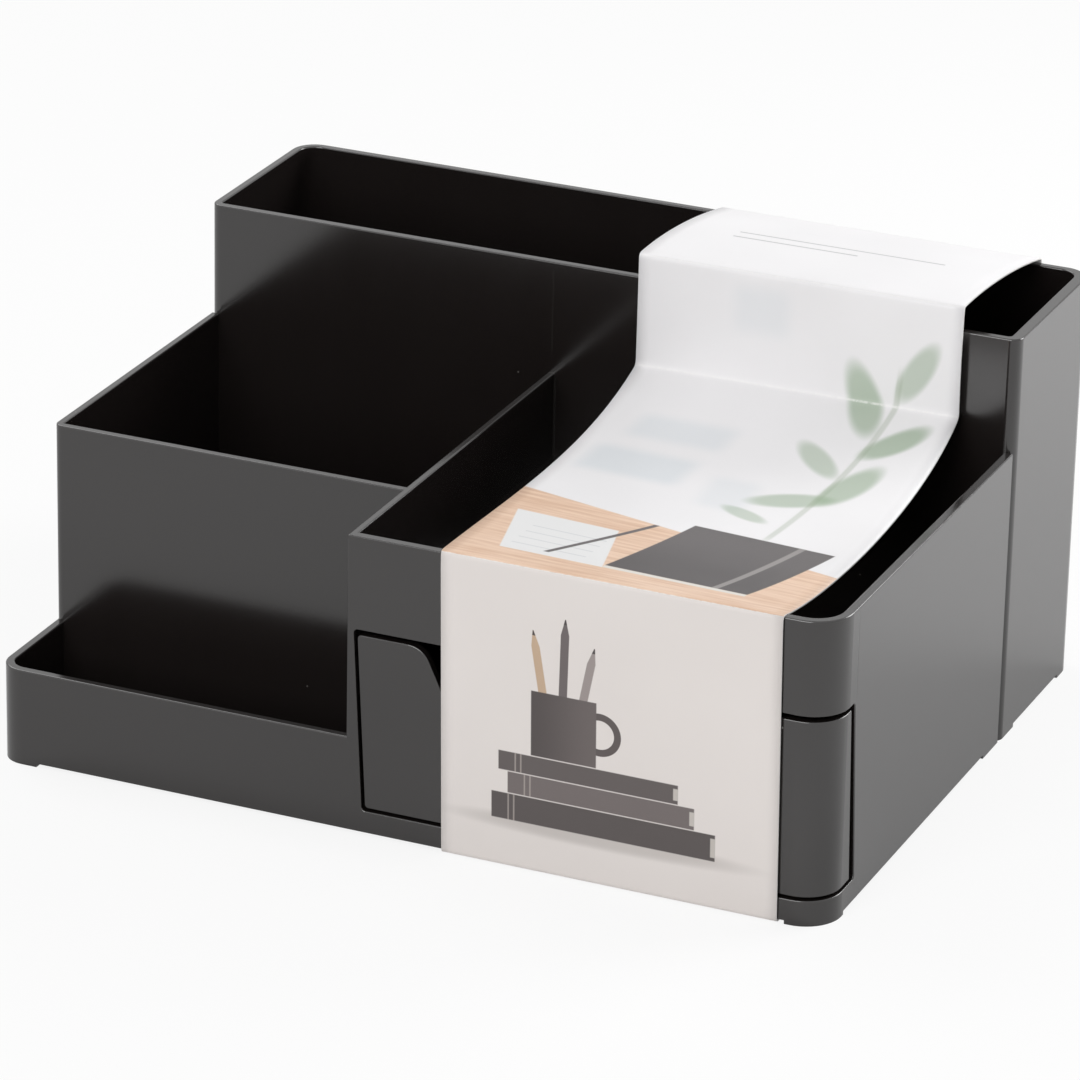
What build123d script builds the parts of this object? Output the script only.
from build123d import *
import os

# Desk organizer: a tall trough at the back, two compartments and a low tray in front of it, and a
# drawer under the right compartment. A card band is wrapped round its right half.
# Millimetres. X runs to the right, Y to the back and Z up. The origin is on the table under the
# middle of the organizer.

# Overall size over the plastic
overall_width = 184.0
overall_depth = 145.0
overall_height = 90.0

# Standing pads
pad_height = 0.8
pad_reach = 9.0

# Rear trough
trough_depth = 46.0
trough_wall = 1.8
trough_right_wall = 2.6
trough_floor = 1.7
trough_rear_radius = 5.5
trough_front_radius = 2.5
trough_left_bay = 115.0
trough_divider = 1.4

# Front body
side_step = 0.25
body_height = 65.2
body_floor = 1.7
flange_height = 12.0
flange_wall = 1.6
box_wall = 1.7
box_corner_radius = 2.0
tray_depth = 25.9
tray_height = 21.2
tray_wall = 1.9
tray_radius = 5.5
block_width = 104.1
block_wall = 2.0
block_radius = 8.0
partition_wall = 1.6
shelf_thickness = 1.6

# Scoop in the front of the upper right compartment
scoop_offset = 25.0
scoop_width = 48.0
scoop_depth = 12.0
scoop_slope = 6.5
scoop_round = 3.0

# Drawer opening
sill_height = 5.5
opening_height = 39.5
jamb_top = 1.4
jamb_slant = 2.1
side_cut_slant = 3.5

# Drawer
drawer_length = 96.0
drawer_inset = 0.3
drawer_panel = 1.8
drawer_wall = 1.5
drawer_floor = 1.6
drawer_rim_drop = 2.0
drawer_return = 12.2
drawer_return_slant = 2.6
drawer_gap_top = 1.2
drawer_gap_bottom = 0.6
drawer_gap_left = 0.6
drawer_gap_side = 1.2
drawer_side_clearance = 0.6

# Finger cut-out in the drawer's front
finger_offset = 14.3
finger_width = 68.0
finger_depth = 17.5
finger_slope = 8.5
finger_top_round = 5.0
finger_bottom_round = 2.5

# Runners that carry the drawer
runner_width = 2.0
runner_inset = 14.0
runner_gap = 0.2
runner_start = 1.0

# Card band
band_card = 0.4
band_clearance = 0.3
band_width = 72.3
band_right_offset = 11.2
band_rise = 6.4
band_sag = 2.2
band_drape_rise = 5.9

# Rounding of the rims, of the edges of the drawer and its opening, and of their corners
rim_round = 0.35
edge_round = 0.25
corner_round = 0.9

# Places worked out from the sizes
right = overall_width / 2
back = overall_depth / 2
front = -back
trough_front = back - trough_depth
body_left = -right + side_step
body_right = right - side_step
box_front = front + tray_depth
block_left = body_right - block_width
partition_right = block_left + partition_wall
body_floor_top = pad_height + body_floor
opening_top = sill_height + opening_height
shelf_top = opening_top + shelf_thickness
opening_left_top = block_left + jamb_top
opening_left_bottom = opening_left_top + jamb_slant
drawer_bottom = sill_height + drawer_gap_bottom
drawer_top = opening_top - drawer_gap_top
drawer_front = front + drawer_inset
drawer_back = drawer_front + drawer_length
drawer_right = body_right - drawer_inset
drawer_box_right = body_right - block_wall - drawer_side_clearance
drawer_return_end = front + drawer_return
side_cut_top = drawer_return_end - drawer_return_slant + drawer_gap_side
side_cut_bottom = side_cut_top + side_cut_slant
wrap_back = drawer_return_end - drawer_return_slant - drawer_wall
wrap_left = drawer_box_right - block_radius
beyond = 5.0
wall_margin = 0.5


def plane_at_y(y):
    """Upright plane across the organizer: its x is X and its y is Z."""
    return Plane.XZ.offset(-y)


def jamb_x(z):
    """X of the slanted left edge of the drawer opening at height z."""
    return opening_left_top + jamb_slant * (opening_top - z) / opening_height


def pads(middle, width, depth, corner_radii):
    """Draw four standing pads under the corners of a footprint, flush with its rounded corners.

    corner_radii maps a corner's side in X and Y, each -1 or 1, to its outer radius.
    """
    with Locations(middle):
        Rectangle(width, depth)
    for (side_x, side_y), radius in corner_radii.items():
        row = vertices().group_by(Axis.Y)[0 if side_y < 0 else -1]
        fillet(row.sort_by(Axis.X)[0 if side_x < 0 else -1], radius)
    with Locations(middle):
        Rectangle(width - 2 * pad_reach, depth, mode=Mode.SUBTRACT)
        Rectangle(width, depth - 2 * pad_reach, mode=Mode.SUBTRACT)


def notch(left, width, slope, depth, top, top_round, bottom_round):
    """Draw a cut-out that is open at the top, with slanted sides and rounded corners."""
    right_end = left + width
    Polygon(
        (left - beyond, top),
        (left, top),
        (left + slope, top - depth),
        (right_end - slope, top - depth),
        (right_end, top),
        (right_end + beyond, top),
        (right_end + beyond, top + beyond),
        (left - beyond, top + beyond),
        align=None,
    )
    mouth = vertices().filter_by(lambda v: abs(v.Y - top) < 0.01).sort_by(Axis.X)[1:3]
    fillet(mouth, top_round)
    fillet(vertices().group_by(Axis.Y)[0], bottom_round)


def band_outline(inset):
    """Closed side view of the card band, moved in by inset from its outer face."""
    stand_off = band_clearance + band_card - inset
    band_front = front - stand_off
    band_back = back + stand_off
    band_bottom = pad_height - stand_off
    fold_z = body_height + stand_off
    drop_y = trough_front - stand_off
    crest_z = overall_height + band_rise - inset
    drape_z = body_height + band_drape_rise - inset
    Line((drop_y, crest_z), (drop_y, drape_z))
    Spline(
        (drop_y, drape_z),
        ((drop_y + band_front) / 2, body_height - band_sag - inset),
        (band_front, fold_z),
        tangents=((-0.94, -0.33), (-1, 0.08)),
    )
    Line((band_front, fold_z), (band_front, band_bottom))
    Line((band_front, band_bottom), (band_back, band_bottom))
    Line((band_back, band_bottom), (band_back, overall_height + stand_off))
    Spline(
        (band_back, overall_height + stand_off),
        (drop_y, crest_z),
        tangents=((-1, 0.16), (-1, 0)),
    )


# Rear trough: a tall box with a floor and a cross divider, open at the top
with BuildPart() as rear_trough:
    with BuildSketch(Plane.XY.offset(pad_height)):
        with Locations((0, back - trough_depth / 2)):
            Rectangle(overall_width, trough_depth)
        rear_corners = vertices().group_by(Axis.Y)[-1]
        fillet(rear_corners, trough_rear_radius)
        front_corners = vertices().group_by(Axis.Y)[0]
        fillet(front_corners, trough_front_radius)
    extrude(amount=overall_height - pad_height)
    left_bay_end = -right + trough_wall + trough_left_bay
    right_bay_start = left_bay_end + trough_divider
    right_bay_end = right - trough_right_wall
    for bay_start, bay_end in ((-right + trough_wall, left_bay_end), (right_bay_start, right_bay_end)):
        with BuildSketch(Plane.XY.offset(pad_height + trough_floor)):
            with Locations(((bay_start + bay_end) / 2, back - trough_depth / 2)):
                Rectangle(bay_end - bay_start, trough_depth - 2 * trough_wall)
            outer_side = 0 if bay_start < left_bay_end else -1
            fillet(
                vertices().group_by(Axis.X)[outer_side].sort_by(Axis.Y)[-1],
                trough_rear_radius - trough_wall,
            )
            fillet(
                vertices().group_by(Axis.Y)[0].sort_by(Axis.X)[outer_side],
                trough_front_radius - trough_wall,
            )
        extrude(amount=overall_height, mode=Mode.SUBTRACT)
    rim_edges = rear_trough.faces().sort_by(Axis.Z)[-1].edges()
    fillet(rim_edges, rim_round)
    rear_radii = {(side, 1): trough_rear_radius for side in (-1, 1)}
    front_radii = {(side, -1): trough_front_radius for side in (-1, 1)}
    with BuildSketch(Plane.XY):
        pads((0, back - trough_depth / 2), overall_width, trough_depth, rear_radii | front_radii)
    extrude(amount=pad_height)
rear_trough.part.label = "rear_trough"

# Low tray in front of the left compartment, with its rim rounded before it joins the body
with BuildPart() as front_tray:
    with BuildSketch(Plane.XY.offset(pad_height)):
        tray_back = box_front + box_wall
        with Locations(((body_left + partition_right) / 2, (front + tray_back) / 2)):
            Rectangle(partition_right - body_left, tray_back - front)
        fillet(vertices().group_by(Axis.X)[0].sort_by(Axis.Y)[0], tray_radius)
    extrude(amount=tray_height - pad_height)
    with BuildSketch(Plane.XY.offset(body_floor_top)):
        with Locations(((body_left + tray_wall + block_left) / 2, (front + tray_wall + box_front) / 2)):
            Rectangle(block_left - body_left - tray_wall, box_front - front - tray_wall)
        fillet(vertices().group_by(Axis.X)[0].sort_by(Axis.Y)[0], tray_radius - tray_wall)
    extrude(amount=body_height, mode=Mode.SUBTRACT)
    fillet(front_tray.faces().sort_by(Axis.Z)[-1].edges(), rim_round)

# Front body: left compartment, low tray, right compartment and drawer bay in one moulding
with BuildPart() as front_body:
    # left compartment
    with BuildSketch(Plane.XY.offset(pad_height)):
        with Locations(((body_left + partition_right) / 2, (box_front + trough_front) / 2)):
            Rectangle(partition_right - body_left, trough_front - box_front)
        fillet(vertices().group_by(Axis.X)[0].sort_by(Axis.Y)[0], box_corner_radius)
    extrude(amount=body_height - pad_height)
    add(front_tray.part)
    # right block, with a rounded left front edge
    with BuildSketch(Plane.XY.offset(pad_height)):
        with Locations(((block_left + body_right) / 2, (front + trough_front) / 2)):
            Rectangle(block_width, trough_front - front)
        fillet(vertices().group_by(Axis.X)[-1].sort_by(Axis.Y)[0], block_radius)
        fillet(vertices().group_by(Axis.X)[0].sort_by(Axis.Y)[0], edge_round)
    extrude(amount=body_height - pad_height)
    # hollow of the left compartment, closed at the back by the trough
    with BuildSketch(Plane.XY.offset(body_floor_top)):
        with Locations(((body_left + box_wall + block_left) / 2, (box_front + box_wall + trough_front) / 2)):
            Rectangle(block_left - body_left - box_wall, trough_front - box_front - box_wall)
    extrude(amount=body_height, mode=Mode.SUBTRACT)
    # hollows of the right compartment and of the drawer bay, one over the other
    inside_right = body_right - block_wall
    inside_front = front + block_wall
    for hollow_bottom, hollow_height in (
        (body_floor_top, opening_top - body_floor_top),
        (shelf_top, body_height - shelf_top + beyond),
    ):
        with BuildSketch(Plane.XY.offset(hollow_bottom)):
            with Locations(((partition_right + inside_right) / 2, (inside_front + trough_front) / 2)):
                Rectangle(inside_right - partition_right, trough_front - inside_front)
            fillet(vertices().group_by(Axis.X)[-1].sort_by(Axis.Y)[0], block_radius - block_wall)
        extrude(amount=hollow_height, mode=Mode.SUBTRACT)
    # drawer opening: the front, then the right side round the corner
    with BuildSketch(plane_at_y(inside_front + wall_margin)):
        with BuildLine():
            Polyline(
                (opening_left_top, opening_top),
                (inside_right, opening_top),
                (inside_right, sill_height),
                (opening_left_bottom, sill_height),
                close=True,
            )
        make_face()
        fillet(vertices().filter_by(lambda v: v.X < opening_left_bottom + edge_round), corner_round)
    extrude(amount=block_wall + wall_margin + beyond, mode=Mode.SUBTRACT)
    with BuildSketch(Plane.YZ.offset(body_right - block_radius)):
        with BuildLine():
            Polyline(
                (front - beyond, opening_top),
                (side_cut_top, opening_top),
                (side_cut_bottom, sill_height),
                (front - beyond, sill_height),
                close=True,
            )
        make_face()
        fillet(vertices().group_by(Axis.X)[-1] + vertices().group_by(Axis.X)[-2], corner_round)
    extrude(amount=block_radius + beyond, mode=Mode.SUBTRACT)
    # rounded rims
    level_faces = front_body.faces().filter_by(Axis.Z)
    top_faces = level_faces.filter_by(lambda f: abs(f.center().Z - body_height) < 0.01)
    fillet(top_faces.edges().filter_by(lambda e: e.center().Y < trough_front - 0.01), rim_round)
    # rounded edge all round the drawer opening
    front_edges = front_body.edges().filter_by(lambda e: abs(e.center().Y - front) < 0.01)
    front_edges = front_edges.filter_by(lambda e: block_left + wall_margin < e.center().X < inside_right)
    opening_edges = front_edges.filter_by(lambda e: sill_height - 0.01 < e.center().Z < opening_top + 0.01)
    fillet(opening_edges, edge_round)
    # scoop in the front wall of the right compartment
    with BuildSketch(plane_at_y(inside_front + wall_margin)):
        scoop_left = block_left + scoop_offset
        notch(scoop_left, scoop_width, scoop_slope, scoop_depth, body_height, scoop_round, scoop_round)
    extrude(amount=block_wall + wall_margin + beyond, mode=Mode.SUBTRACT)
    # low flange that backs the body against the trough
    with BuildSketch(Plane.XY.offset(pad_height)):
        with Locations(((body_left + body_right) / 2, trough_front - flange_wall / 2)):
            Rectangle(body_right - body_left, flange_wall)
    extrude(amount=flange_height - pad_height)
    # runners on the floor of the bay
    runner_back = trough_front - flange_wall
    runner_front = inside_front + runner_start
    with BuildSketch(Plane.XY.offset(body_floor_top)):
        runner_x = (partition_right + runner_inset, inside_right - runner_inset)
        with Locations(*[(x, (runner_front + runner_back) / 2) for x in runner_x]):
            Rectangle(runner_width, runner_back - runner_front)
    extrude(amount=drawer_bottom - runner_gap - body_floor_top)
    # standing pads
    body_depth = trough_front - front
    body_radii = {(-1, -1): tray_radius, (1, -1): block_radius}
    with BuildSketch(Plane.XY):
        pads((0, front + body_depth / 2), body_right - body_left, body_depth, body_radii)
    extrude(amount=pad_height)
front_body.part.label = "front_body"

# Outer form of the drawer's front, which wraps round the front right corner
with BuildPart() as drawer_face:
    with BuildSketch(Plane.XY.offset(drawer_bottom)):
        face_left = jamb_x(drawer_top) + drawer_gap_left
        with Locations(((face_left + drawer_right) / 2, (drawer_front + drawer_return_end) / 2)):
            Rectangle(drawer_right - face_left, drawer_return_end - drawer_front)
        fillet(vertices().group_by(Axis.X)[-1].sort_by(Axis.Y)[0], block_radius - drawer_inset)
    extrude(amount=drawer_top - drawer_bottom)
    with BuildSketch(Plane.YZ.offset(face_left)):
        with BuildLine():
            Polyline(
                (drawer_front, drawer_top),
                (drawer_return_end - drawer_return_slant, drawer_top),
                (drawer_return_end, drawer_bottom),
                (drawer_front, drawer_bottom),
                close=True,
            )
        make_face()
    extrude(amount=drawer_right - face_left, mode=Mode.INTERSECT)

# Drawer: the front and a box behind it whose sides narrow towards the bottom
with BuildPart() as drawer:
    add(drawer_face.part)
    with BuildSketch(plane_at_y(drawer_back)):
        rim_z = drawer_top - drawer_rim_drop
        with BuildLine():
            Polyline(
                (jamb_x(rim_z) + drawer_gap_left, rim_z),
                (drawer_box_right, rim_z),
                (drawer_box_right - jamb_slant, drawer_bottom),
                (jamb_x(drawer_bottom) + drawer_gap_left, drawer_bottom),
                close=True,
            )
        make_face()
    extrude(amount=drawer_back - wrap_back)
    # slanted left edge of the front
    with BuildSketch(plane_at_y(drawer_back)):
        with BuildLine():
            Polyline(
                (jamb_x(drawer_top) + drawer_gap_left, drawer_top),
                (jamb_x(drawer_bottom) + drawer_gap_left, drawer_bottom),
                (face_left - beyond, drawer_bottom),
                (face_left - beyond, drawer_top),
                close=True,
            )
        make_face()
    extrude(amount=drawer_length, mode=Mode.SUBTRACT)
    # hollow of the box, then of its front as far as the part that wraps round the corner
    inner_bottom = drawer_bottom + drawer_floor
    inner_front = drawer_front + drawer_panel
    for hollow_back, hollow_front, hollow_right in (
        (drawer_back - drawer_wall, wrap_back, drawer_box_right - drawer_wall),
        (wrap_back, inner_front, wrap_left + jamb_slant),
    ):
        with BuildSketch(plane_at_y(hollow_back)):
            with BuildLine():
                Polyline(
                    (jamb_x(drawer_top) + drawer_gap_left + drawer_wall, drawer_top),
                    (hollow_right, drawer_top),
                    (hollow_right - jamb_slant, inner_bottom),
                    (jamb_x(inner_bottom) + drawer_gap_left + drawer_wall, inner_bottom),
                    close=True,
                )
            make_face()
        extrude(amount=hollow_back - hollow_front, mode=Mode.SUBTRACT)
    # hollow of the part that wraps round the corner
    with BuildSketch(Plane.XY.offset(inner_bottom)):
        wrap_right = drawer_right - drawer_panel
        with Locations(((wrap_left + wrap_right) / 2, (inner_front + wrap_back) / 2)):
            Rectangle(wrap_right - wrap_left, wrap_back - inner_front)
        fillet(vertices().group_by(Axis.X)[-1].sort_by(Axis.Y)[0], block_radius - drawer_inset - drawer_panel)
    extrude(amount=drawer_top, mode=Mode.SUBTRACT)
    # finger cut-out
    with BuildSketch(plane_at_y(drawer_front + drawer_panel + wall_margin)):
        finger_left = face_left + finger_offset
        notch(
            finger_left,
            finger_width,
            finger_slope,
            finger_depth,
            drawer_top,
            finger_top_round,
            finger_bottom_round,
        )
    extrude(amount=drawer_panel + wall_margin + beyond, mode=Mode.SUBTRACT)
    # rounded left corners of the front, then its rounded front edges
    lengthwise = drawer.edges().filter_by(Axis.Y)
    top_left = lengthwise.sort_by(Axis.X)[0]
    bottom_left = lengthwise.filter_by(lambda e: e.center().Z < drawer_bottom + 0.01).sort_by(Axis.X)[0]
    fillet([top_left, bottom_left], corner_round)
    front_edges = drawer.faces().filter_by(Axis.Y).sort_by(Axis.Y)[0].edges()
    round_start = drawer_right - block_radius + drawer_inset
    fillet(front_edges.filter_by(lambda e: abs(e.center().X - round_start) > 0.01), edge_round)
drawer.part.label = "drawer"

# Card band: one closed loop that stands up over the trough and sags over the right compartment
with BuildPart() as card_sleeve:
    band_left = right - band_right_offset - band_width
    with BuildSketch(Plane.YZ.offset(band_left)):
        with BuildLine():
            band_outline(0)
        make_face()
        with BuildLine():
            band_outline(band_card)
        make_face(mode=Mode.SUBTRACT)
    extrude(amount=band_width)
card_sleeve.part.label = "card_sleeve"

os.makedirs("parts", exist_ok=True)
export_step(rear_trough.part, "parts/rear_trough.step")
export_step(front_body.part, "parts/front_body.step")
export_step(drawer.part, "parts/drawer.step")
export_step(card_sleeve.part, "parts/card_sleeve.step")
